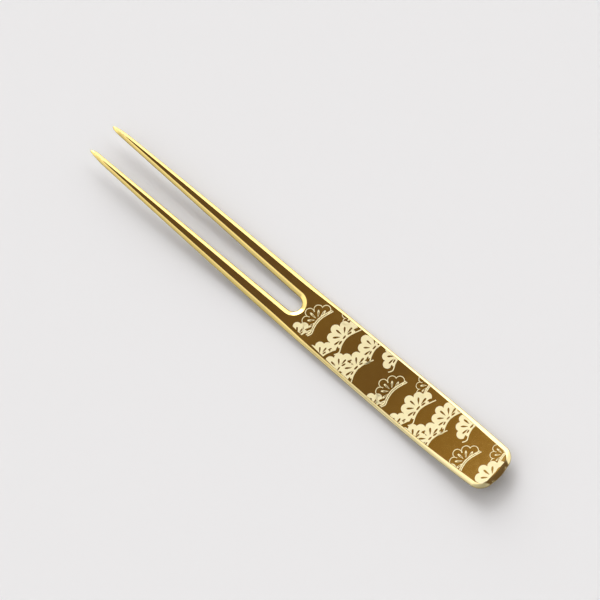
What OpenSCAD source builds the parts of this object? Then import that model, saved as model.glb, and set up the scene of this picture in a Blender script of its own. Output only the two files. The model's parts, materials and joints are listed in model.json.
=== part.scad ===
// Dessert fork with two long tapering tines and a flat handle, pressed from one piece of metal,
// with a frosted pine-spray pattern in thin relief on the handle's top face.
// Millimetres. X runs from the tine tips to the handle end, Z is up, the fork rests on Z = 0.

/* [Overall] */
// Length from the tine tips to the handle end
fork_len = 125; // [112:1:140]
// Thickness of the handle
handle_t = 1.8; // [1.6:0.1:2.2]
// Thickness of the tines half way along
tine_t = 1.4; // [1.2:0.1:1.6]
// Thickness at the tine tips
tip_t = 1.1; // [1.0:0.1:1.3]

/* [Outline] */
// Half width at the widest place, near the handle end
wide_half = 6.52; // [6.2:0.02:7.0]
// Distance of the widest place from the tips
wide_at = 104; // [98:1:108]
// Half width over the tines just behind the tips
tines_half = 4.62; // [4.5:0.02:4.9]
// How far the half width has dropped at the handle end
end_drop = 0.6; // [0.2:0.05:0.9]
// Corner radius of the handle end
corner_r = 3.7; // [2.6:0.1:4.2]
// Outward bow of the handle end
end_bow = 0.3; // [0:0.05:0.8]

/* [Slot] */
// Distance of the slot's round end from the tips
slot_len = 62.4; // [58:0.2:64]
// Half gap between the tine tips
gap_tip = 3.2; // [3.0:0.05:3.3]
// Half gap at the slot's round end
gap_root = 2.0; // [1.9:0.05:2.2]
// Distance of each tine's point from the centre line
point_y = 3.9; // [3.8:0.05:4.1]
// Length over which the outer edge runs in to the point
point_len = 6; // [4:0.5:9]

/* [Section] */
// Width of the sloping band along the outer edges of the tines
band_tine = 1.1; // [0.9:0.05:1.3]
// Width of that band along the handle
band_out = 0.74; // [0.6:0.02:0.9]
// Extra width of that band at the handle end
band_end = 0.44; // [0.2:0.02:0.6]
// Width of the sloping band around the slot
band_slot = 1.2; // [1.0:0.05:1.4]
// Width of the rounding under the edges
band_under = 0.8; // [0.5:0.05:1.0]
// Share of the thickness over which the bands slope down
band_drop = 0.38; // [0.3:0.02:0.5]

/* [Side profile] */
// Start of the level stretch underneath
level_from = 70; // [66:1:72]
// End of the level stretch underneath
level_to = 88; // [86:1:92]
// Radius of the upward bend in front of the level stretch
bend_r = 260; // [200:10:320]
// Slope of the tines in front of the bend
tip_slope = 0.055; // [0.03:0.005:0.065]
// Height of the handle end over the level stretch
end_rise = 2.5; // [1.4:0.1:2.8]

/* [Pine pattern] */
// Height of the frosted pattern over the handle's face
relief = 0.05; // [0.04:0.01:0.1]
// Distance between repeats of the pattern along the handle
repeat_x = 24.4; // [24:0.1:26]
// Sideways step of the pattern at each repeat
repeat_y = -1.56; // [-2:0.02:-1.4]
// Radius of a needle tuft
tuft_r = 1.18; // [1.0:0.02:1.25]
// Width of the drawn lines
line_w = 0.24; // [0.2:0.02:0.34]

/* [Hidden] */
// depth to which the pattern's relief reaches into the blank
sink = 0.04;
// how much is dressed off underneath to make the level land
dress = 0.03;
rim_top = 6;
rim_low = 3;
rim_n = rim_top + rim_low + 1;
n_tip = 8;
n_tine = 22;
n_u = 9;
n_handle = 20;
n_corner = 9;
n_end = 5;
n_open = n_tip + n_tine + n_u + 1;
n_all = n_open + n_handle + n_corner + n_end;
bend_to = level_from - bend_r * tip_slope;
bend_up = bend_r * tip_slope * tip_slope / 2;
back_len = fork_len - level_to;
R_end = (back_len * back_len + end_rise * end_rise) / (2 * end_rise);
u_from = slot_len - gap_root;
apex = slot_len + band_slot;
corner_from = fork_len - end_bow - corner_r;

function clamp(v) = max(0, min(1, v));
function ease(v) = let(c = clamp(v)) c * c * (3 - 2 * c);
function quarter(v) = let(c = clamp(v)) sqrt(1 - (1 - c) * (1 - c));

// side profile of the underside, and the thickness over it
function lift(s) = max(0, s < bend_to ? bend_up + tip_slope * (bend_to - s) - dress
    : s < level_from ? pow(level_from - s, 2) / (2 * bend_r) - dress
    : s > level_to ? R_end - sqrt(R_end * R_end - pow(s - level_to, 2)) - dress : 0);
function body_t(s) = tip_t + (tine_t - tip_t) * clamp(s / 45) + (handle_t - tine_t) * ease((s - 40) / 34);
function thick(s) = body_t(s) * (0.35 + 0.65 * quarter(s / 2.5));

// outline before the points are drawn in, and the slot's half gap
function half_w(s) = s < wide_at ? wide_half - (wide_half - tines_half) * pow((wide_at - s) / wide_at, 1.55)
                   : wide_half - end_drop * pow((s - wide_at) / (fork_len - wide_at), 2);
function outer_y(s) = point_y + (half_w(s) - point_y) * quarter(s / point_len);
function gap_y(s) = gap_root + (gap_tip - gap_root) * clamp((u_from - s) / u_from);
function inner_y(s) = point_y - (point_y - gap_y(s)) * quarter(s / 2.5);

// widths of the rounded bands, drawn together where the tine is too narrow for its flat face
function flat_want(s) = 1.85 * pow(clamp((s - 4) / (u_from - 4)), 0.64);
function outer_want(s) = band_tine - (band_tine - band_out) * ease((s - 56) / 16) + band_end * ease((s - 94) / 26);
function slot_want(s) = band_slot;
function squeeze(s) = min(1, max(0.02, outer_y(s) - inner_y(s) - flat_want(s))
    / (outer_want(s) + slot_want(s)));

// one rim profile: a crisp start at the flat face, an even curve to the widest line, then under it
rim_a0 = 24;
rim_a1 = 74;
function rim_a(k) = rim_a0 + (rim_a1 - rim_a0) * k / rim_top;
function rim_in(k, b) = k <= rim_top ? b * (sin(rim_a1) - sin(rim_a(k))) / (sin(rim_a1) - sin(rim_a0))
    : band_under * min(1, b / 1.1) * (1 - cos(90 * (k - rim_top) / rim_low));
function rim_z(k) = k <= rim_top ? 1 - band_drop * (cos(rim_a0) - cos(rim_a(k))) / (cos(rim_a0) - cos(rim_a1))
    : (1 - band_drop) * (1 - sin(90 * (k - rim_top) / rim_low));
function rim(s, y, nx, ny, b) = [for (k = [0 : rim_n - 1])
    let(d = rim_in(k, b), sx = s - nx * d)
    [sx, y - ny * d, lift(sx) + thick(sx) * rim_z(k)]];

// stations from the tips to the handle end
function tip_s(i) = point_len * pow((i + 0.35) / n_tip, 2);
function tine_s(i) = point_len + (u_from - point_len) * i / n_tine;
function open_s(i) = i < n_tip ? tip_s(i) : tine_s(min(i - n_tip, n_tine));
function u_a(i) = 90 * (i - n_tip - n_tine) / n_u;
function outer_s(i) = i <= n_tip + n_tine ? open_s(i)
    : i < n_open ? u_from + (apex - u_from) * (i - n_tip - n_tine) / n_u
    : apex + (corner_from - apex) * (i - n_open + 1) / n_handle;

// rim along the outside
corner_y = half_w(corner_from);
function corner_a(i) = 90 * (i - n_open - n_handle + 1) / n_corner;
function end_y(i) = (corner_y - corner_r) * (1 - (i - n_open - n_handle - n_corner + 1) / n_end);
function outer_rim(i) = i < n_open + n_handle
    ? let(s = outer_s(i)) rim(s, outer_y(s), 0, 1, outer_want(s) * (i < n_open - n_u ? squeeze(s) : 1))
    : i < n_open + n_handle + n_corner
    ? let(a = corner_a(i)) rim(corner_from + corner_r * sin(a), corner_y - corner_r + corner_r * cos(a),
        sin(a), cos(a), outer_want(fork_len))
    : let(y = end_y(i), q = y / (corner_y - corner_r))
      rim(fork_len - end_bow * q * q, y, 1, 0, outer_want(fork_len));

// rim around the slot, then the handle's centre line
function inner_rim(i) = i <= n_tip + n_tine
    ? let(s = open_s(i)) rim(s, inner_y(s), 0, -1, slot_want(s) * squeeze(s))
    : i < n_open
    ? let(a = u_a(i)) rim(u_from + gap_root * sin(a), gap_root * cos(a), -sin(a), -cos(a),
        band_slot + (slot_want(u_from) * squeeze(u_from) - band_slot) * cos(a))
    : let(s = center_s(i)) [for (k = [0 : rim_n - 1])
        [s, 0, lift(s) + (k < rim_n / 2 ? thick(s) : 0)]];
center_to = fork_len - outer_want(fork_len) - 0.4;
function center_s(i) = i < n_open + n_handle ? outer_s(i)
    : corner_from + (center_to - corner_from) * (i - n_open - n_handle + 1) / (n_corner + n_end);

// numbering: station, then inner rim (0) or outer rim (1), then place on the rim
half_pts = [for (i = [0 : n_all - 1]) each concat(inner_rim(i), outer_rim(i))];
half_n = len(half_pts);
nose_z = lift(0) + thick(0) * 0.5;
fork_pts = concat([for (p = half_pts) [p[0] - fork_len / 2, p[1], p[2]]],
    [for (p = half_pts) [p[0] - fork_len / 2, -p[1], p[2]]],
    [[-fork_len / 2, point_y, nose_z], [-fork_len / 2, -point_y, nose_z]]);

// a point's number, with the points on the centre line shared by both halves,
// and the centre line's points reduced to one above and one below
function fold(i, r, k) = (r == 0 && i >= n_open) ? (k < rim_n / 2 ? 0 : rim_n - 1) : k;
function id(side, i, r, k) = let(n = (i * 2 + r) * rim_n + fold(i, r, k))
    (side == 1 && abs(half_pts[n][1]) > 0.00001) ? n + half_n : n;
function flip(side, f) = side == 1 ? [f[2], f[1], f[0]] : f;
function quad(side, a, b, c, d) = [flip(side, [a, b, c]), flip(side, [a, c, d])];

function rim_faces(side, i, r) = [for (k = [0 : rim_n - 2]) each (r == 1
    ? quad(side, id(side, i, r, k), id(side, i + 1, r, k), id(side, i + 1, r, k + 1), id(side, i, r, k + 1))
    : quad(side, id(side, i, r, k), id(side, i, r, k + 1),
        id(side, i + 1, r, k + 1), id(side, i + 1, r, k)))];
// the last station lies on the centre line, so the faces over and under it close in one triangle
function top_faces(side, i) = i == n_all - 2
    ? [flip(side, [id(side, i, 0, 0), id(side, i + 1, 1, 0), id(side, i, 1, 0)])]
    : quad(side, id(side, i, 0, 0), id(side, i + 1, 0, 0), id(side, i + 1, 1, 0), id(side, i, 1, 0));
function low_faces(side, i) = let(k = rim_n - 1) i == n_all - 2
    ? [flip(side, [id(side, i, 1, k), id(side, i + 1, 1, k), id(side, i, 0, k)])]
    : quad(side, id(side, i, 1, k), id(side, i + 1, 1, k), id(side, i + 1, 0, k), id(side, i, 0, k));
function nose_faces(side) = let(p = 2 * half_n + side, k1 = rim_n - 1) concat(
    [for (k = [0 : rim_n - 2]) each [flip(side, [p, id(side, 0, 1, k), id(side, 0, 1, k + 1)]),
        flip(side, [p, id(side, 0, 0, k + 1), id(side, 0, 0, k)])]],
    [flip(side, [p, id(side, 0, 0, 0), id(side, 0, 1, 0)]),
    flip(side, [p, id(side, 0, 1, k1), id(side, 0, 0, k1)])]);
fork_faces = [for (side = [0, 1]) each concat(nose_faces(side),
    [for (i = [0 : n_all - 2]) each rim_faces(side, i, 1)],
    [for (i = [0 : n_open - 2]) each rim_faces(side, i, 0)],
    [for (i = [0 : n_all - 2]) each top_faces(side, i)],
    [for (i = [0 : n_all - 2]) each low_faces(side, i)])];

module fork_blank() {
    color([0.83, 0.66, 0.34])
    difference() {
        polyhedron(points = fork_pts, faces = fork_faces, convexity = 8);
        // nothing hangs below the level land
        translate([-fork_len / 2 - 1, -10, -5]) cube([fork_len + 2, 20, 4]);
    }
}

// outline of the flat face where the pattern lies: a stretch of the handle inside its rims,
// with the slot's round end left out and one straight trimmed edge
trim_slope = 0.0825;
function face_y(s) = s < corner_from ? half_w(s) - outer_want(s) - 0.12
    : half_w(corner_from) - outer_want(fork_len) - 0.12
        - 0.9 * pow((s - corner_from) / (face_to - corner_from), 2);
function low_y(s) = -min(face_y(s), 4.3 + trim_slope * (s - apex));
face_to = fork_len - outer_want(fork_len) - 0.35;
face_from = u_from + 0.2;
face_n = 24;
module face_outline() {
    difference() {
        polygon(concat(
            [for (i = [0 : face_n]) let(s = face_from + (face_to - face_from) * i / face_n) [s, low_y(s)]],
            [for (i = [0 : face_n]) let(s = face_to - (face_to - face_from) * i / face_n) [s, face_y(s)]]));
        translate([u_from, 0]) circle(r = gap_root + band_slot + 0.12, $fn = 48);
    }
}

// thin layer that follows the flat face, a little below it to a little above it
skin_n = 20;
function top_z(s) = lift(s) + thick(s);
function skin_s(i) = u_from - 1 + (fork_len - u_from + 1.2) * i / skin_n;
module skin() {
    rotate([90, 0, 0]) translate([0, 0, -8]) linear_extrude(height = 16)
    polygon(concat([for (i = [0 : skin_n]) [skin_s(i), top_z(skin_s(i)) - sink]],
        [for (i = [skin_n : -1 : 0]) [skin_s(i), top_z(skin_s(i)) + relief]]));
}
module on_face() {
    translate([-fork_len / 2, 0, 0])
    intersection() {
        linear_extrude(height = handle_t + end_rise + 2)
        intersection() {
            face_outline();
            children();
        }
        skin();
    }
}

// one needle: a slim drop, its point towards the fan's root
needle_n = 8;
module needle(len, w) {
    polygon(concat([[-len / 2, 0]],
        [for (i = [0 : needle_n]) [len / 2 - w / 2 + w / 2 * cos(90 - 180 * i / needle_n),
            -w / 2 * sin(90 - 180 * i / needle_n)]]));
}
module oval(len, w, n) {
    scale([len / 2, w / 2]) circle(r = 1, $fn = n);
}

// a fan's tufts: their angles around its root and their distances from it
tuft_a = [95, 130, 178, 223, 261];
tuft_d = [3.3, 2.75, 2.8, 2.8, 3.35];
module fan(from, to, share) {
    for (i = [from : to]) rotate(tuft_a[i]) translate([tuft_d[i] * share, 0]) children();
}

// the body between the tufts and the twig: an oval cut off along a shallow valley
heart_n = 36;
module heart(foot, slope) {
    polygon([for (i = [0 : heart_n - 1]) let(a = 360 * i / heart_n, y = 3 * sin(a))
        [min(2.2 * cos(a), foot + slope * abs(y)), y]]);
}

// short cuts along the twig side of a filled fan
module dashes() {
    for (i = [-2 : 2]) translate([0.02 + 0.17 * i * i, 1.6 * i]) rotate(90 - 11 * i) oval(1.1, 0.36, 12);
}

module filled_fan(x, y, from, to, size) {
    translate([x, y]) scale(size)
    difference() {
        union() {
            fan(from, to, 1) circle(r = tuft_r, $fn = 26);
            heart(0.42, 0.27);
        }
        fan(from, to, 0.62) needle(1.75, 0.62);
        dashes();
    }
}
module outline_fan(x, y, from, to, size) {
    translate([x, y]) scale(size) {
        difference() {
            fan(from, to, 1) circle(r = tuft_r, $fn = 32);
            fan(from, to, 1) circle(r = tuft_r - line_w, $fn = 32);
            heart(2, 0.1);
        }
        difference() {
            fan(from, to, 0.6) needle(1.5, 0.55);
            fan(from, to, 0.6) oval(0.7, 0.2, 10);
        }
    }
}

// a twig: a drawn line beside a fan, bowed like the fan's foot, with a hook at its lower end
twig_n = 24;
function twig_y(i) = 4.1 - 8.6 * i / twig_n;
function twig_x(y) = y > 0 ? 0.3 + 0.27 * pow(y / 1.9, 1.8)
    : y > -3.4 ? 0.3 + 0.27 * pow(-y / 1.9, 1.9) : 1.12 - 0.42 * pow(-3.4 - y, 1.6);
module twig(x, y, size, off) {
    translate([x, y]) scale(size) polygon(concat(
        [for (i = [0 : twig_n]) [twig_x(twig_y(i)) + off - line_w / 2, twig_y(i)]],
        [for (i = [twig_n : -1 : 0]) [twig_x(twig_y(i)) + off + line_w / 2, twig_y(i)]]));
}

module repeats() {
    for (k = [0 : 2]) translate([k * repeat_x, k * repeat_y]) children();
}

// the fans of one repeat: root, first and last tuft, size
filled_fans = [[75, 1.5, 0, 4, 1], [81.9, 4.2, 0, 4, 0.96], [82, -2.2, 0, 4, 0.98],
    [79.1, -5, 0, 2, 0.95], [87.4, 6.2, 1, 4, 0.92], [66.5, -5.5, 0, 2, 0.86], [73.8, -5.7, 0, 2, 0.9]];
outline_fans = [[67.6, 0.6, 0, 4, 0.95], [73.3, 7.3, 1, 4, 0.8]];

module pine_sprays_filled() {
    color([0.95, 0.88, 0.66])
    on_face() repeats() for (f = filled_fans) filled_fan(f[0], f[1], f[2], f[3], f[4]);
}

module pine_sprays_outline() {
    color([0.95, 0.88, 0.66])
    on_face() repeats() for (f = outline_fans) outline_fan(f[0], f[1], f[2], f[3], f[4]);
}

module pine_twigs() {
    color([0.95, 0.88, 0.66])
    on_face() repeats() {
        for (f = filled_fans) twig(f[0], f[1], f[4], 0);
        for (f = outline_fans) for (off = [0, -0.42]) twig(f[0], f[1], f[4], off);
    }
}

fork_blank();
pine_sprays_filled();
pine_sprays_outline();
pine_twigs();
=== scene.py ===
# Dessert fork with a pine-spray face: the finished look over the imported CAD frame.
import bmesh, bpy, json, math
from mathutils import Vector, Matrix

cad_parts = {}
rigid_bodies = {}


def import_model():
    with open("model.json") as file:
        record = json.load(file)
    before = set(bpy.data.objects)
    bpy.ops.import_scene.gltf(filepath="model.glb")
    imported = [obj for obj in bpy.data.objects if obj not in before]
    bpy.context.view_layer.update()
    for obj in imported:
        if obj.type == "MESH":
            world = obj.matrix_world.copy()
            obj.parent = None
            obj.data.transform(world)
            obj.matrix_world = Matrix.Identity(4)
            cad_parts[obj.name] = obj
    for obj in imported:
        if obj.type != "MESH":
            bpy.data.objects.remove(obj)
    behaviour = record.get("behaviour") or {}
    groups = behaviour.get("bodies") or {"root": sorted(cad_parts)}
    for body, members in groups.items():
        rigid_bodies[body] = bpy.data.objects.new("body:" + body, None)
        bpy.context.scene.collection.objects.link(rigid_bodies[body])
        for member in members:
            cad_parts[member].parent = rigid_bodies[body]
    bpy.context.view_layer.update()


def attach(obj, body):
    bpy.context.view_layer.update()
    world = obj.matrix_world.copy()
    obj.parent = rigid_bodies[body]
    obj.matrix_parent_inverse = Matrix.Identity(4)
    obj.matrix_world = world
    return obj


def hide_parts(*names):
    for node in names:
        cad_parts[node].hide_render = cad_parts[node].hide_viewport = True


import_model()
MM = 0.001

# ------------------------------------------------------------------ sizes, in millimetres from the tips
FORK_LEN, HANDLE_T, TINE_T, TIP_T = 125.0, 1.8, 1.4, 1.1
WIDE_HALF, WIDE_AT, TINES_HALF, END_DROP = 6.52, 104.0, 4.62, 0.6
WIDTH_POWER, CORNER_R, END_BOW = 1.55, 3.7, 0.3
TINE_FULL_AT, STEP_AT, STEP_RUN = 45.0, 40.0, 34.0    # where a tine is full thick, and the rise to the handle
NOSE_T, NOSE_RUN = 0.35, 2.5                          # the share left at the points, and where it is whole
SLOT_LEN, GAP_TIP, GAP_ROOT, POINT_Y, POINT_LEN = 62.4, 3.2, 2.0, 3.9, 6.0
FLAT_W, FLAT_AT, FLAT_POWER, LEAST_ROOM = 1.85, 4.0, 0.64, 0.02
OUT_AT, OUT_RUN, END_AT, END_RUN = 56.0, 16.0, 94.0, 26.0    # where the outer band narrows, and widens again
BAND_TINE, BAND_OUT, BAND_END, BAND_SLOT, BAND_UNDER = 1.1, 0.74, 0.44, 1.2, 0.8
LEVEL_FROM, LEVEL_TO, R_TIP, TIP_SLOPE, END_RISE, DRESS = 70.0, 88.0, 260.0, 0.055, 2.5, 0.03
BEND_TO = LEVEL_FROM - R_TIP * TIP_SLOPE
R_END = ((FORK_LEN - LEVEL_TO) ** 2 + END_RISE ** 2) / (2 * END_RISE)
U_FROM = SLOT_LEN - GAP_ROOT
APEX = SLOT_LEN + BAND_SLOT
CORNER_FROM = FORK_LEN - END_BOW - CORNER_R


def clamp(v):
    return max(0.0, min(1.0, v))


def ease(v):
    c = clamp(v)
    return c * c * (3 - 2 * c)


def quarter(v):
    c = clamp(v)
    return math.sqrt(1 - (1 - c) ** 2)


def lift(s):
    if s < BEND_TO:
        return (LEVEL_FROM - BEND_TO) ** 2 / (2 * R_TIP) + TIP_SLOPE * (BEND_TO - s) - DRESS
    if s < LEVEL_FROM:
        return max(0.0, (LEVEL_FROM - s) ** 2 / (2 * R_TIP) - DRESS)
    if s > LEVEL_TO:
        return max(0.0, R_END - math.sqrt(R_END ** 2 - (s - LEVEL_TO) ** 2) - DRESS)
    return 0.0


def thick(s):
    body = TIP_T + (TINE_T - TIP_T) * clamp(s / TINE_FULL_AT)
    body += (HANDLE_T - TINE_T) * ease((s - STEP_AT) / STEP_RUN)
    return body * (NOSE_T + (1 - NOSE_T) * quarter(s / NOSE_RUN))


def half_w(s):
    if s < WIDE_AT:
        return WIDE_HALF - (WIDE_HALF - TINES_HALF) * ((WIDE_AT - s) / WIDE_AT) ** WIDTH_POWER
    return WIDE_HALF - END_DROP * ((s - WIDE_AT) / (FORK_LEN - WIDE_AT)) ** 2


def outer_y(s):
    return POINT_Y + (half_w(s) - POINT_Y) * quarter(s / POINT_LEN)


def gap_y(s):
    return GAP_ROOT + (GAP_TIP - GAP_ROOT) * clamp((U_FROM - s) / U_FROM)


def inner_y(s):
    return POINT_Y - (POINT_Y - gap_y(s)) * quarter(s / NOSE_RUN)


def flat_want(s):
    return FLAT_W * clamp((s - FLAT_AT) / (U_FROM - FLAT_AT)) ** FLAT_POWER


def outer_want(s):
    tine_to_handle = BAND_TINE - (BAND_TINE - BAND_OUT) * ease((s - OUT_AT) / OUT_RUN)
    return tine_to_handle + BAND_END * ease((s - END_AT) / END_RUN)


def squeeze(s):
    """The share of its bands that a tine has room for beside its flat face."""
    room = max(LEAST_ROOM, outer_y(s) - inner_y(s) - flat_want(s))
    return min(1.0, room / (outer_want(s) + BAND_SLOT))


# ------------------------------------------------------------------ the blank, as one smooth closed skin
RIM_TOP, RIM_LOW = 22, 10
RIM_FROM, RIM_TO, RIM_DROP = math.radians(24), math.radians(74), 0.38
RIM_N = RIM_TOP + RIM_LOW + 2   # one more row just inside the flat face keeps it flat
ROW_IN, FULL_BAND = 0.04, 1.1   # how far inside, and the band that has the whole of BAND_UNDER under it
UNDERSIDE = 1.5                 # the rim value is 0 on the face, 1 at the widest line, and this underneath
END_IN = 0.4                    # how far inside the end's band the middle line stops


def rim_step(k, b):
    """How far in from the outline, and how high of the thickness, row k of a rim lies."""
    if k == 0:
        return b + ROW_IN * min(1.0, b), 1.0
    k -= 1
    if k <= RIM_TOP:    # a crisp start at the flat face, then an even curve to nearly upright
        a = RIM_FROM + (RIM_TO - RIM_FROM) * k / RIM_TOP
        x = (math.sin(a) - math.sin(RIM_FROM)) / (math.sin(RIM_TO) - math.sin(RIM_FROM))
        z = (math.cos(RIM_FROM) - math.cos(a)) / (math.cos(RIM_FROM) - math.cos(RIM_TO))
        return b * (1 - x), 1 - RIM_DROP * z
    a = math.radians(90 * (k - RIM_TOP) / RIM_LOW)
    under = BAND_UNDER * min(1.0, b / FULL_BAND)
    return under * (1 - math.cos(a)), (1 - RIM_DROP) * (1 - math.sin(a))


def rim(s, y, nx, ny, b):
    row = []
    for k in range(RIM_N):
        d, z = rim_step(k, b)
        sx = s - nx * d
        row.append((sx, y - ny * d, lift(sx) + thick(sx) * z, max(0.0, (k - 1) / RIM_TOP)))
    return row


def middle(s):
    """The middle line: half its rows lie on the face, and half underneath."""
    top, low = (s, 0.0, lift(s) + thick(s), 0.0), (s, 0.0, lift(s), UNDERSIDE)
    return [top if k < RIM_N / 2 else low for k in range(RIM_N)]


def tine_stations():
    n_tip, n_tine, first = 30, 110, 0.35
    rows = [POINT_LEN * ((i + first) / n_tip) ** 2 for i in range(n_tip)]
    rows += [POINT_LEN + (U_FROM - POINT_LEN) * i / n_tine for i in range(n_tine + 1)]
    for s in rows:
        q = squeeze(s)
        yield rim(s, inner_y(s), 0, -1, BAND_SLOT * q), rim(s, outer_y(s), 0, 1, outer_want(s) * q), True


def slot_end_stations():
    """Round the slot's end the inner rim follows a half circle, and comes to one point on the middle line."""
    n_u, q_end = 40, squeeze(U_FROM)
    for i in range(1, n_u + 1):
        a = math.radians(90 * i / n_u)
        s = U_FROM + (APEX - U_FROM) * i / n_u
        b = BAND_SLOT + (BAND_SLOT * q_end - BAND_SLOT) * math.cos(a)
        inner = rim(U_FROM + GAP_ROOT * math.sin(a), GAP_ROOT * math.cos(a), -math.sin(a), -math.cos(a), b)
        if i == n_u:
            inner = [(x, 0.0, z, r) for x, y, z, r in inner]
        q = q_end + (1 - q_end) * ease(i / n_u)
        yield inner, rim(s, outer_y(s), 0, 1, outer_want(s) * q), True


def handle_stations():
    n_handle = 90
    for i in range(1, n_handle + 1):
        s = APEX + (CORNER_FROM - APEX) * i / n_handle
        yield middle(s), rim(s, outer_y(s), 0, 1, outer_want(s)), False


def end_stations():
    """Round the corner, then across the bowed end to the middle line."""
    n_corner, n_end = 36, 22
    n = n_corner + n_end
    corner_y = half_w(CORNER_FROM)
    band = outer_want(FORK_LEN)
    last = FORK_LEN - band - END_IN
    for i in range(1, n + 1):
        if i <= n_corner:
            a = math.radians(90 * i / n_corner)
            x, y = math.sin(a), math.cos(a)
            edge = rim(CORNER_FROM + CORNER_R * x, corner_y - CORNER_R + CORNER_R * y, x, y, band)
        else:
            q = 1 - (i - n_corner) / n_end
            edge = rim(FORK_LEN - END_BOW * q * q, (corner_y - CORNER_R) * q, 1, 0, band)
        yield middle(CORNER_FROM + (last - CORNER_FROM) * i / n), edge, False


def stations():
    """From the tips to the handle end: an inner line, the outer rim, and whether the inner line is a rim."""
    return [*tine_stations(), *slot_end_stations(), *handle_stations(), *end_stations()]


def fork_mesh():
    rows = stations()
    verts, rims, index = [], [], {}

    def vert(p, side):
        x, y, z, r = p
        y = y if side == 0 else -y
        key = (round(x, 5), round(y, 5) + 0.0, round(z, 5))
        if key not in index:
            index[key] = len(verts)
            verts.append(((x - FORK_LEN / 2) * MM, y * MM, z * MM))
            rims.append(r)
        return index[key]

    faces = []

    def face(side, *corners):
        ids = [vert(p, side) for p in corners]
        ids = [v for j, v in enumerate(ids) if v != ids[j - 1]]
        if len(ids) > 2:
            faces.append(ids if side == 0 else ids[::-1])

    for side in (0, 1):
        for (i0, o0, slot0), (i1, o1, slot1) in zip(rows, rows[1:]):
            for k in range(RIM_N - 1):
                face(side, o0[k], o1[k], o1[k + 1], o0[k + 1])
                if slot1:
                    face(side, i0[k], i0[k + 1], i1[k + 1], i1[k])
            face(side, i0[0], i1[0], o1[0], o0[0])
            face(side, o0[-1], o1[-1], i1[-1], i0[-1])
        # the nose of the tine
        i0, o0, _ = rows[0]
        nose = (0.0, POINT_Y, lift(0) + thick(0) * 0.5, 1.0)
        loop = i0[::-1] + o0
        for a, b in zip(loop, loop[1:] + loop[:1]):
            face(side, nose, a, b)
    me = bpy.data.meshes.new("fork_body")
    me.from_pydata(verts, [], faces)
    me.validate()
    at = me.attributes.new("rim", "FLOAT", "POINT")
    at.data.foreach_set("value", rims)
    me.shade_smooth()
    return me


# ------------------------------------------------------------------ the face that carries the pattern
FACE_FROM, FACE_TO = U_FROM + 0.2, FORK_LEN - outer_want(FORK_LEN) - 0.3
FACE_IN, FACE_ROUND = 0.08, 0.9          # how far inside the rim it ends, and how much more at the handle end
LOW_EDGE, LOW_SPREAD = 4.3, 0.0825       # its near edge at the slot's end, and how that widens from there
RELIEF, SINK = 0.05, 0.03


def face_y(s):
    if s < CORNER_FROM:
        return half_w(s) - outer_want(s) - FACE_IN
    f = (s - CORNER_FROM) / (FACE_TO - CORNER_FROM)
    return half_w(CORNER_FROM) - outer_want(FORK_LEN) - FACE_IN - FACE_ROUND * f * f


def skin_mesh():
    """A thin closed layer over the handle's face, in millimetres. The pattern is cut from it."""
    n, verts, faces = 110, [], []
    for i in range(n + 1):
        s = FACE_FROM + (FACE_TO - FACE_FROM) * i / n
        z = lift(s) + thick(s)
        low, high = -min(face_y(s), LOW_EDGE + LOW_SPREAD * (s - APEX)), face_y(s)
        for y, dz in ((low, -SINK), (high, -SINK), (high, RELIEF), (low, RELIEF)):
            verts.append((s, y, z + dz))
    for i in range(n):
        a = 4 * i
        for j in range(4):
            k = (j + 1) % 4
            faces.append((a + j, a + k, a + 4 + k, a + 4 + j))
    faces.append((3, 2, 1, 0))
    faces.append((4 * n, 4 * n + 1, 4 * n + 2, 4 * n + 3))
    me = bpy.data.meshes.new("face_skin")
    me.from_pydata(verts, [], faces)
    return me


def place(name, me):
    ob = bpy.data.objects.new(name, me)
    bpy.context.scene.collection.objects.link(ob)
    return ob


# ------------------------------------------------------------------ node-tree helpers
class Nodes:
    """What geometry, material and world trees share. A value is a number, a colour or a node's output."""

    def __init__(self, tree):
        self.t = tree

    def link(self, a, b):
        self.t.links.new(a, b)

    def fill(self, sockets, values):
        for sock, value in zip(sockets, values):
            if isinstance(value, bpy.types.NodeSocket):
                self.link(value, sock)
            else:
                sock.default_value = value

    def node(self, kind, props=None, **sockets):
        n = self.t.nodes.new(kind)
        for k, v in (props or {}).items():
            setattr(n, k, v)
        for k, v in sockets.items():
            self.fill([n.inputs[k.replace("_", " ")]], [v])
        return n

    def math(self, op, a, b=0.0, c=0.0):
        n = self.node("ShaderNodeMath", {"operation": op})
        self.fill(n.inputs, (a, b, c))
        return n.outputs[0]

    def range(self, value, a, b, c, d, kind="LINEAR"):
        """Maps a to b onto c to d."""
        n = self.node("ShaderNodeMapRange", {"interpolation_type": kind})
        self.fill(n.inputs[:5], (value, a, b, c, d))
        return n.outputs[0]

    def fade(self, value, a, b):
        """0 at a, 1 at b, and smooth between them."""
        return self.range(value, a, b, 0.0, 1.0, "SMOOTHSTEP")

    def ramp(self, value, *stops):
        n = self.node("ShaderNodeValToRGB")
        marks = n.color_ramp.elements
        while len(marks) < len(stops):
            marks.new(0.5)
        for mark, (at, colour) in zip(marks, stops):
            mark.position, mark.color = at, (*colour, 1)
        self.link(value, n.inputs[0])
        return n.outputs[0]

    def mix(self, share, a, b):
        n = self.node("ShaderNodeMix", {"data_type": "RGBA"})
        self.fill((n.inputs[0], n.inputs[6], n.inputs[7]), (share, a, b))
        return n.outputs[2]


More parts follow.
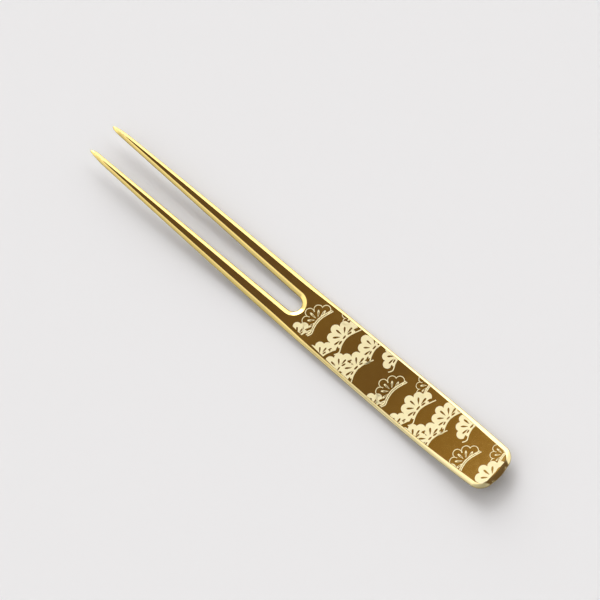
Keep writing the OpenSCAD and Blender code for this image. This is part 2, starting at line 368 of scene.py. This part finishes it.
class Tree(Nodes):
    """A geometry node tree under construction, with named inputs."""

    MERGE = 1e-8      # metres within which two vertices are one

    def __init__(self, name, **inputs):
        super().__init__(bpy.data.node_groups.new(name, "GeometryNodeTree"))
        face = self.t.interface
        face.new_socket("Geometry", in_out="INPUT", socket_type="NodeSocketGeometry")
        face.new_socket("Geometry", in_out="OUTPUT", socket_type="NodeSocketGeometry")
        kinds = {float: "NodeSocketFloat", int: "NodeSocketInt", bpy.types.Object: "NodeSocketObject",
                 bpy.types.Material: "NodeSocketMaterial"}
        self.ids = []
        for label, value in inputs.items():
            kind = next(v for k, v in kinds.items() if isinstance(value, k))
            sock = face.new_socket(label.replace("_", " "), in_out="INPUT", socket_type=kind)
            self.ids.append((sock.identifier, value))
        self.inp = self.t.nodes.new("NodeGroupInput")
        self.out = self.t.nodes.new("NodeGroupOutput")

    def __getitem__(self, label):
        return self.inp.outputs[label]

    def attribute(self, name, kind="FLOAT"):
        n = self.node("GeometryNodeInputNamedAttribute", {"data_type": kind}, Name=name)
        return n.outputs["Attribute"]

    def boolean(self, op, *parts):
        n = self.node("GeometryNodeMeshBoolean", {"operation": op, "solver": "MANIFOLD"})
        if op == "DIFFERENCE":
            self.link(parts[0], n.inputs[0])
            parts = parts[1:]
        for part in parts:
            self.link(part, n.inputs[1])
        return n.outputs[0]

    def run(self, name, me):
        """Runs the tree on a mesh and gives the plain result as an object."""
        ob = place(name, me)
        mod = ob.modifiers.new("build", "NODES")
        mod.node_group = self.t
        for ident, value in self.ids:
            mod[ident] = value
        dg = bpy.context.evaluated_depsgraph_get()
        baked = bpy.data.meshes.new_from_object(ob.evaluated_get(dg))
        ob.modifiers.remove(mod)
        bm = bmesh.new()
        bm.from_mesh(baked)
        bmesh.ops.remove_doubles(bm, verts=bm.verts, dist=self.MERGE)
        bmesh.ops.recalc_face_normals(bm, faces=bm.faces)
        bm.to_mesh(baked)
        bm.free()
        ob.data = baked
        baked.name = name
        return ob


STAMP_H, STAMP_Z = 10.0, 3.0    # the stamps are tall, and stand halfway up, so that they cut right through
TURN_SHIFT = 40                 # keeps the draws for turn apart from those for size


def stamp(t, length, width, sides, taper=0.0, valley=None):
    """A tall closed stamp: an ellipse, a drop if taper is over 0, or one cut off along a shallow valley."""
    cyl = t.node("GeometryNodeMeshCylinder", Vertices=sides, Radius=1.0, Depth=STAMP_H).outputs["Mesh"]
    xyz = t.node("ShaderNodeSeparateXYZ", Vector=t.node("GeometryNodeInputPosition").outputs[0])
    x, y = xyz.outputs[0], xyz.outputs[1]
    nx = t.math("MULTIPLY", x, t.math("MULTIPLY", length, 0.5))
    ny = t.math("MULTIPLY", y, t.math("MULTIPLY", width, 0.5))
    if taper:
        grow = t.math("POWER", t.math("MAXIMUM", t.math("MULTIPLY_ADD", x, 0.5, 0.5), 0.02), taper)
        ny = t.math("MULTIPLY", ny, grow)
    if valley:
        foot, slope = valley
        nx = t.math("MINIMUM", nx, t.math("MULTIPLY_ADD", t.math("ABSOLUTE", ny), slope, foot))
    to = t.node("ShaderNodeCombineXYZ", X=nx, Y=ny, Z=xyz.outputs[2])
    return t.node("GeometryNodeSetPosition", Geometry=cyl, Position=to.outputs[0]).outputs[0]


def uneven(t, middle, by, shift):
    """A random number for each point, at most `by` away from the middle."""
    n = t.node("FunctionNodeRandomValue", {"data_type": "FLOAT"}, Seed=t.math("ADD", t["Seed"], float(shift)))
    t.fill(n.inputs[2:4], (middle - by, middle + by))
    return n.outputs[1]


def spread(t, what, kind, jitter, wobble, shift):
    """Puts a stamp on each point of one kind, turned as its fan asks, a little uneven as if hand-drawn."""
    pick = t.node("FunctionNodeCompare", {"data_type": "INT", "operation": "EQUAL"})
    t.fill(pick.inputs[2:4], (t.attribute("kind", "INT"), kind))
    size = t.math("MULTIPLY", t.attribute("size"), uneven(t, 1.0, jitter, shift))
    angle = t.math("ADD", t.attribute("turn"), uneven(t, 0.0, wobble, shift + TURN_SHIFT))
    turn = t.node("ShaderNodeCombineXYZ", Z=angle)
    scale = t.node("ShaderNodeCombineXYZ", X=size, Y=size, Z=1.0)
    return t.node("GeometryNodeInstanceOnPoints", Points=t["Geometry"], Selection=pick.outputs[0],
                  Instance=what, Rotation=turn.outputs[0], Scale=scale.outputs[0]).outputs[0]


def close(t, geo):
    """To metres and to the fork's place, then one plain mesh with its finish."""
    moved = t.node("GeometryNodeTransform", Geometry=geo, Translation=(-FORK_LEN / 2 * MM, 0, 0),
                   Scale=(MM, MM, MM))
    real = t.node("GeometryNodeRealizeInstances", Geometry=moved.outputs[0])
    done = t.node("GeometryNodeSetMaterial", Geometry=real.outputs[0], Material=t["Finish"])
    t.link(done.outputs[0], t.out.inputs[0])


def skin_of(t, up=0.0):
    layer = t.node("GeometryNodeObjectInfo", Object=t["Skin"]).outputs["Geometry"]
    return t.node("GeometryNodeTransform", Geometry=layer, Translation=(0, 0, up)).outputs[0]


# ------------------------------------------------------------------ the pattern's layout, in millimetres
TUFT, NEEDLE, DASH, HEART = range(4)
REPEAT, REPEATS = (24.4, -1.56), 3
# a fan's tufts round its root, as angle and distance, and the cuts at its foot, as x, y and turn
FAN = [(95, 3.3), (130, 2.75), (178, 2.8), (223, 2.8), (261, 3.35)]
DASHES = [(0.72, 3.2, 68), (0.28, 1.5, 76), (0.02, 0.0, 90), (0.22, -1.6, 102), (0.68, -3.2, 112)]
# each fan: root x, root y, first tuft, the one after its last, size
FILLED_FANS = [(75.0, 1.5, 0, 5, 1.0), (81.9, 4.2, 0, 5, 0.96), (82.0, -2.2, 0, 5, 0.98),
               (79.1, -5.0, 0, 3, 0.95), (87.4, 6.2, 1, 5, 0.92), (66.5, -5.5, 0, 3, 0.86),
               (73.8, -5.7, 0, 3, 0.9)]
OUTLINE_FANS = [(67.6, 0.6, 0, 5, 0.95), (73.3, 7.3, 1, 5, 0.8)]


def points_mesh(name, items):
    """items: (x, y, kind, turn in degrees, size)"""
    me = bpy.data.meshes.new(name)
    me.from_pydata([(x, y, STAMP_Z) for x, y, *_ in items], [], [])
    for label, kind, col in (("kind", "INT", 2), ("turn", "FLOAT", 3), ("size", "FLOAT", 4)):
        at = me.attributes.new(label, kind, "POINT")
        for p, it in zip(at.data, items):
            p.value = math.radians(it[3]) if label == "turn" else it[col]
    return me


def roots(fans, before, past):
    """Each fan with its repeats, where the root is near enough to the face for the fan to reach it."""
    for x, y, first, last, size in fans:
        for k in range(REPEATS):
            rx, ry = x + k * REPEAT[0], y + k * REPEAT[1]
            if FACE_FROM - before <= rx <= FORK_LEN + past:
                yield rx, ry, first, last, size


def fan_points(fans, needle_at):
    """needle_at: how far out towards its tuft a needle lies, as a share"""
    items = []
    for rx, ry, first, last, size in roots(fans, 6, 5):
        items.append((rx, ry, HEART, 0, size))
        for ang, dist in FAN[first:last]:
            c, s = math.cos(math.radians(ang)), math.sin(math.radians(ang))
            items.append((rx + c * dist * size, ry + s * dist * size, TUFT, ang, size))
            d = needle_at * dist * size
            items.append((rx + c * d, ry + s * d, NEEDLE, ang, size))
        for dx, dy, turn in DASHES:
            items.append((rx + dx * size, ry + dy * size, DASH, turn, size))
    return items


def filled_sprays(skin, finish):
    t = Tree("filled pine sprays", Tuft_Radius=1.18, Needle_Length=1.85, Needle_Width=0.68, Dash_Length=1.15,
             Dash_Width=0.44, Heart_Length=4.4, Heart_Width=6.0, Seed=3, Skin=skin, Finish=finish)
    dia = t.math("MULTIPLY", t["Tuft Radius"], 2.0)
    tufts = spread(t, stamp(t, dia, dia, 26), TUFT, 0.05, 0.0, 1)
    heart = stamp(t, t["Heart Length"], t["Heart Width"], 40, valley=(0.42, 0.27))
    hearts = spread(t, heart, HEART, 0.0, 0.0, 2)
    needles = spread(t, stamp(t, t["Needle Length"], t["Needle Width"], 14, taper=0.7), NEEDLE, 0.08, 0.08, 3)
    dashes = spread(t, stamp(t, t["Dash Length"], t["Dash Width"], 12), DASH, 0.1, 0.08, 4)
    body = t.boolean("UNION", tufts, hearts)
    body = t.boolean("DIFFERENCE", body, t.boolean("UNION", needles, dashes))
    close(t, t.boolean("INTERSECT", body, skin_of(t)))
    return t.run("pine_filled", points_mesh("filled_points", fan_points(FILLED_FANS, 0.62)))


def outline_sprays(skin, finish):
    t = Tree("outlined pine sprays", Tuft_Radius=1.18, Line_Width=0.17, Needle_Length=1.9, Needle_Width=0.66,
             Heart_Length=4.4, Heart_Width=6.0, Seed=5, Skin=skin, Finish=finish)
    dia = t.math("MULTIPLY", t["Tuft Radius"], 2.0)
    less = t.math("SUBTRACT", dia, t.math("MULTIPLY", t["Line Width"], 2.0))
    tufts = spread(t, stamp(t, dia, dia, 32), TUFT, 0.0, 0.0, 1)
    inner = spread(t, stamp(t, less, less, 32), TUFT, 0.0, 0.0, 1)
    heart = stamp(t, t["Heart Length"], t["Heart Width"], 40, valley=(2.0, 0.1))
    hearts = spread(t, heart, HEART, 0.0, 0.0, 2)
    lines = t.boolean("DIFFERENCE", t.boolean("UNION", tufts), t.boolean("UNION", inner, hearts))
    needle = stamp(t, t["Needle Length"], t["Needle Width"], 16, taper=0.7)
    needles = spread(t, needle, NEEDLE, 0.08, 0.06, 3)
    slim = t.math("MULTIPLY", t["Needle Width"], 0.36)
    short = t.math("MULTIPLY", t["Needle Length"], 0.5)
    eyes = spread(t, stamp(t, short, slim, 10), NEEDLE, 0.0, 0.0, 6)
    drops = t.boolean("DIFFERENCE", t.boolean("UNION", needles), t.boolean("UNION", eyes))
    both = t.boolean("UNION", lines, drops)
    close(t, t.boolean("INTERSECT", both, skin_of(t)))
    return t.run("pine_outlined", points_mesh("outline_points", fan_points(OUTLINE_FANS, 0.6)))


# twig lines beside each fan: offsets from the fan's root, from its top to its foot
TWIG = [(1.35, 4.1), (1.08, 3.3), (0.78, 2.4), (0.5, 1.5), (0.36, 0.6), (0.3, 0.0),
        (0.38, -0.9), (0.58, -1.9), (0.78, -2.5), (1.12, -3.4), (1.06, -4.0), (0.72, -4.7)]


# each line of a twig: how far aside it lies, and how much it bows
FILLED_TWIG, OUTLINE_TWIG = [(0.1, 1.3)], [(0.0, 1.0), (-0.42, 1.0)]
TWIG_UP = 0.015     # twig lines stand a little higher than the sprays


def twig_paths():
    verts, edges = [], []
    for fans, lines in ((FILLED_FANS, FILLED_TWIG), (OUTLINE_FANS, OUTLINE_TWIG)):
        for rx, ry, _, _, size in roots(fans, 3, 3):
            for aside, bow in lines:
                start = len(verts)
                verts += [(rx + (dx * bow + aside) * size, ry + dy * size, STAMP_Z) for dx, dy in TWIG]
                edges += [(start + j, start + j + 1) for j in range(len(TWIG) - 1)]
    me = bpy.data.meshes.new("twig_paths")
    me.from_pydata(verts, edges, [])
    return me


def twig_lines(skin, finish):
    t = Tree("pine twigs", Line_Width=0.24, Step=0.2, Skin=skin, Finish=finish)
    curve = t.node("GeometryNodeMeshToCurve", Mesh=t["Geometry"]).outputs[0]
    spline = t.node("GeometryNodeCurveSplineType", {"spline_type": "CATMULL_ROM"}, Curve=curve).outputs[0]
    fine = t.node("GeometryNodeResampleCurve", {"mode": "LENGTH"}, Curve=spline, Length=t["Step"]).outputs[0]
    shape = t.node("GeometryNodeCurvePrimitiveQuadrilateral", Width=t["Line Width"], Height=STAMP_H)
    sweep = t.node("GeometryNodeCurveToMesh", Curve=fine, Profile_Curve=shape.outputs[0], Fill_Caps=True)
    close(t, t.boolean("INTERSECT", t.boolean("UNION", sweep.outputs[0]), skin_of(t, TWIG_UP)))
    return t.run("pine_twig_lines", twig_paths())


# ------------------------------------------------------------------ finishes
class Finish(Nodes):
    """A procedural material on object coordinates."""

    def __init__(self, name, **base):
        self.m = bpy.data.materials.new(name)
        self.m.use_nodes = True
        super().__init__(self.m.node_tree)
        self.b = self.t.nodes["Principled BSDF"]
        for k, v in base.items():
            self.b.inputs[k.replace("_", " ")].default_value = v
        self.co = self.node("ShaderNodeTexCoord").outputs["Object"]

    def noise(self, scale, detail=3.0, rough=0.55, stretch=(1, 1, 1)):
        where = self.node("ShaderNodeMapping", Scale=stretch, Vector=self.co).outputs[0]
        n = self.node("ShaderNodeTexNoise", Scale=scale, Detail=detail, Roughness=rough, Vector=where)
        return n.outputs["Fac"]

    def bump(self, height, distance, strength=1.0, **after):
        """after: Normal=the bump that this one adds to, if any"""
        n = self.node("ShaderNodeBump", Distance=distance, Strength=strength, Height=height, **after)
        return n.outputs[0]


GOLD, GOLD_DEEP = (1.0, 0.78, 0.28, 1), (0.98, 0.745, 0.25, 1)
# the darkest tone here is painted shade below the widest line
# the pale tone here is painted light on the handle's rims
GOLD_WORN, GOLD_PAINTED_LIGHT, GOLD_PAINTED_SHADE = (1.0, 0.86, 0.46, 1), (1.0, 0.85, 0.45, 1), (0.26, 0.18, 0.06, 1)
FROST, FROST_DEEP, FROST_GRAIN = (0.97, 0.87, 0.55, 1), (0.94, 0.83, 0.48, 1), (0.88, 0.74, 0.38, 1)


def mirror_gold():
    f = Finish("mirror_gold", Metallic=1.0, Roughness=0.1, Base_Color=(1.0, 0.77, 0.24, 1))
    rim_value = f.node("ShaderNodeAttribute", {"attribute_name": "rim"}).outputs["Fac"]
    along = f.node("ShaderNodeSeparateXYZ", Vector=f.co).outputs[0]
    # a cloudy gold, a little worn on the rims, and a paler tone on the handle's rims that is painted light,
    # standing in for the brighter light they catch
    tone = f.mix(f.noise(160, 4), GOLD, GOLD_DEEP)
    worn = f.math("MULTIPLY", f.range(rim_value, 0.45, 0.95, 0, 1), f.range(f.noise(420, 5), 0.45, 0.7, 0, 1))
    tone = f.mix(f.math("MULTIPLY", worn, 0.5), tone, GOLD_WORN)
    painted_light = f.math("MULTIPLY", f.range(along, -0.002, 0.03, 0, 1), f.range(rim_value, 0.0, 0.06, 0, 1))
    tone = f.mix(painted_light, tone, GOLD_PAINTED_LIGHT)
    # painted shade: darker below the widest line, standing in for the shadowed floor that the underside
    # mirrors; duller there as well
    low = f.range(rim_value, 0.72, 1.05, 0.0, 1.0)
    f.link(f.mix(f.math("MULTIPLY", low, 0.9), tone, GOLD_PAINTED_SHADE), f.b.inputs["Base Color"])
    # fine polishing lines along the fork, a haze, and a slow wave in the surface
    lines = f.noise(1.0, 2, 0.6, stretch=(260, 16000, 16000))
    haze = f.noise(900, 4, 0.6)
    rough = f.math("ADD", f.range(lines, 0.35, 0.75, 0.05, 0.12), f.range(haze, 0.35, 0.75, 0.0, 0.07))
    f.link(f.math("ADD", rough, f.math("MULTIPLY", low, 0.16)), f.b.inputs["Roughness"])
    wave = f.bump(f.noise(210, 1.5, 0.4), 0.000014)
    f.link(f.bump(lines, 0.0000012, Normal=wave), f.b.inputs["Normal"])
    return f.m


def frosted_gold():
    f = Finish("frosted_gold", Metallic=0.15, Roughness=0.5, Base_Color=(1.0, 0.91, 0.56, 1))
    grain = f.noise(14000, 2, 0.6)
    tone = f.mix(f.noise(500, 3), FROST, FROST_DEEP)
    f.link(f.mix(f.range(grain, 0.3, 0.7, 0.0, 0.22), tone, FROST_GRAIN), f.b.inputs["Base Color"])
    f.link(f.range(grain, 0.3, 0.7, 0.36, 0.52), f.b.inputs["Roughness"])
    f.link(f.bump(grain, 0.000012, 0.8), f.b.inputs["Normal"])
    return f.m


# ------------------------------------------------------------------ stage: floor, light and camera
def stage_floor():
    me = bpy.data.meshes.new("floor")
    r = 3.0     # metres
    me.from_pydata([(-r, -r, 0), (r, -r, 0), (r, r, 0), (-r, r, 0)], [], [(0, 1, 2, 3)])
    ob = place("floor", me)
    f = Finish("pale_floor", Roughness=0.9, Base_Color=(0.84, 0.84, 0.86, 1))
    me.materials.append(f.m)


# The world's light depends on direction only. x points to the handle end, y to the photo's far side.
FAR_SIDE = (-0.6, 0.8, 0.0)
SIDE_LIGHT = [(0.0, 0.3), (0.19, 0.45), (0.34, 0.95), (0.87, 1.0), (0.95, 1.8)]    # from its opposite to it
NEAR_AND_HIGH = (0.0, -0.5, 0.9)
OVERHEAD, OVERHEAD_EDGE = (-0.29, 0.18, 0.94), (0.915, 0.945)
OVERHEAD_TONES = [(0.43, (0.10, 0.064, 0.05)), (0.515, (0.155, 0.097, 0.046)), (0.72, (0.30, 0.185, 0.07))]
CARD_EDGE = (0.34, 0.22)
DARK_CARD, DARK_EDGE, DARK_Y = (0.13, 0.085, 0.045, 1), (-0.02, 0.1), 0.18
BRIGHT_CARD, BRIGHT_EDGE, BRIGHT_Y = (4.8, 4.8, 4.8, 1), (-0.45, -0.7), 0.42


def studio_world():
    world = bpy.data.worlds.new("studio")
    bpy.context.scene.world = world
    world.use_nodes = True
    w = Nodes(world.node_tree)
    w.t.nodes.clear()
    direction = w.node("ShaderNodeTexCoord").outputs["Generated"]
    x, y, z = w.node("ShaderNodeSeparateXYZ", Vector=direction).outputs

    def towards(way):
        """How far a direction points the given way."""
        parts = [w.math("MULTIPLY", axis, share) for axis, share in zip((x, y, z), way)]
        return w.math("ADD", w.math("ADD", parts[0], parts[1]), parts[2])

    def card(sky, tone, edge, middle):
        """An upright card at one end of the fork, round the direction whose y is middle."""
        aside = w.math("ABSOLUTE", w.math("SUBTRACT", y, middle))
        return w.mix(w.math("MULTIPLY", w.fade(x, *edge), w.fade(aside, *CARD_EDGE)), sky, tone)

    # the surround, brighter towards the far side, and on the near side brighter well above the horizon
    flat = w.math("SQRT", w.math("ADD", w.math("MULTIPLY", x, x), w.math("MULTIPLY", y, y)))
    turned = w.math("DIVIDE", towards(FAR_SIDE), w.math("MAXIMUM", flat, 0.001))
    side = w.ramp(w.math("MULTIPLY_ADD", turned, 0.5, 0.5), *[(at, (v, v, v * 0.99)) for at, v in SIDE_LIGHT])
    high = w.range(towards(NEAR_AND_HIGH), 0.25, 0.9, 1.0, 1.25, "SMOOTHSTEP")
    surround = w.node("ShaderNodeVectorMath", {"operation": "SCALE"}, Scale=high)
    w.link(side, surround.inputs[0])
    # a warm dark card overhead, a little lighter towards the tips; the flat face mirrors it
    dark = w.ramp(w.math("MULTIPLY_ADD", x, -1.0, 0.25), *OVERHEAD_TONES)
    sky = w.mix(w.fade(towards(OVERHEAD), *OVERHEAD_EDGE), surround.outputs[0], dark)
    # a dark card past the handle end, and a bright one past the tips
    sky = card(sky, DARK_CARD, DARK_EDGE, DARK_Y)
    sky = card(sky, BRIGHT_CARD, BRIGHT_EDGE, BRIGHT_Y)
    bg = w.node("ShaderNodeBackground", Color=sky, Strength=1.0)
    w.node("ShaderNodeOutputWorld", Surface=bg.outputs[0])


def stage_light():
    studio_world()
    sun = bpy.data.lights.new("soft_key", "SUN")
    sun.energy, sun.angle, sun.color = 0.55, math.radians(30), (1.0, 0.99, 0.97)
    ob = bpy.data.objects.new("soft_key", sun)
    bpy.context.scene.collection.objects.link(ob)
    ob.rotation_mode = "QUATERNION"
    ob.rotation_quaternion = Vector((-0.70, 0.56, 0.45)).to_track_quat("Z", "Y")


BACK, ROLL = (0.265, -0.18, 0.947), 40.2      # from the fork to the camera, and degrees the fork lies turned
LENS, SENSOR, FRAME_W = 450.0, 36.0, 138.50416      # millimetres; the last is the view's width at the fork
AIM_UP, AIM_RIGHT, AIM_Z = 1.77747, 0.02308, 2.1    # where the camera aims: in its view, and above the floor


def stage_camera():
    back = Vector(BACK).normalized()
    along = (Vector((1, 0, 0)) - back * back.x).normalized()    # the fork's length, as the camera sees it
    across = back.cross(along)
    a = math.radians(ROLL)
    right = along * math.cos(a) + across * math.sin(a)
    up = across * math.cos(a) - along * math.sin(a)
    cam = bpy.data.cameras.new("camera")
    cam.lens, cam.sensor_width = LENS, SENSOR
    cam.clip_start, cam.clip_end = 0.05, 20.0
    aim = Vector((0, 0, AIM_Z * MM)) + up * (AIM_UP * MM) + right * (AIM_RIGHT * MM)
    ob = bpy.data.objects.new("camera", cam)
    bpy.context.scene.collection.objects.link(ob)
    ob.location = aim + back * (LENS / SENSOR * FRAME_W * MM)
    ob.rotation_mode = "QUATERNION"
    ob.rotation_quaternion = Matrix((right, up, back)).transposed().to_quaternion()
    bpy.context.scene.camera = ob


# ------------------------------------------------------------------ making it
stage_camera()
stage_floor()
stage_light()
gold, frost = mirror_gold(), frosted_gold()
body = place("fork_body", fork_mesh())
body.data.materials.append(gold)
skin = place("face_skin", skin_mesh())
filled = filled_sprays(skin, frost)
outlined = outline_sprays(skin, frost)
twigs = twig_lines(skin, frost)
bpy.data.objects.remove(skin)

for piece, node, slot in ((body, "fork_blank", "gold_plate"),
                          (filled, "pine_sprays_filled", "frosted_gold"),
                          (outlined, "pine_sprays_outline", "frosted_gold"),
                          (twigs, "pine_twigs", "frosted_gold")):
    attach(piece, "root")
    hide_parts(node)

bpy.context.scene.view_settings.view_transform = "Standard"
